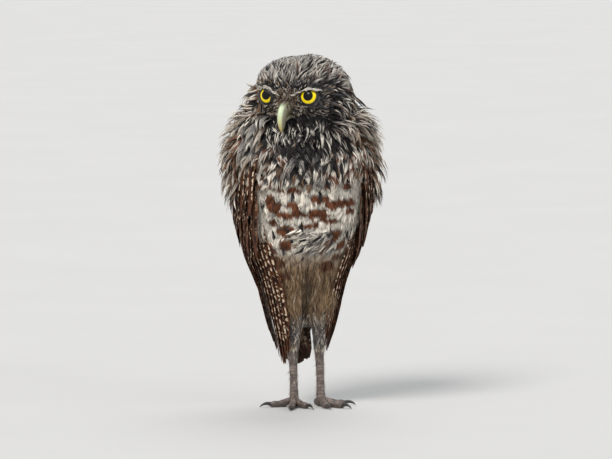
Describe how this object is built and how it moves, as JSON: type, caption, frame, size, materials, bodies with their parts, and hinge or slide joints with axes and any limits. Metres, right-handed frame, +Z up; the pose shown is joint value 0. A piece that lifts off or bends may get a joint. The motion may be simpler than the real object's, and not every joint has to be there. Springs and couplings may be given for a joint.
{
  "type": "burrowing owl model",
  "caption": "Life-size still model of a rain-soaked burrowing owl standing upright on long legs, its wings folded and its head turned to its right.",
  "frame": {"origin": "on the floor under the middle of the bounding box", "axes": "+Z up; the body faces -Y and its left side is +X"},
  "size_m": [0.1194, 0.0894, 0.2344],
  "materials": {
    "plumage": "wet feathers in points, dark grey-brown with pale tips",
    "breast": "white feathers barred with brown, buff on the lower belly and thighs",
    "flight": "dark brown vanes with rows of buff spots",
    "leg": "grey-brown scaly skin with thin bristly feathers",
    "eye": "bright yellow iris and black pupil under a wet cornea",
    "bill": "greenish straw horn, smooth",
    "claw": "dark polished horn"
  },
  "bodies": {
    "root": {"head": "plumage", "neck": "plumage", "torso": "breast", "tail": "flight", "bill_upper": "bill", "bill_lower": "bill", "eye_left": "eye", "wing_left": "flight", "thigh_left": "breast", "shank_left": "leg", "foot_left": "leg", "eye_right": "eye", "wing_right": "flight", "thigh_right": "breast", "shank_right": "leg", "foot_right": "leg", "claw_left_inner": "claw", "claw_left_middle": "claw", "claw_left_outer": "claw", "claw_left_hind": "claw", "claw_right_inner": "claw", "claw_right_middle": "claw", "claw_right_outer": "claw", "claw_right_hind": "claw"}
  },
  "joints": []
}
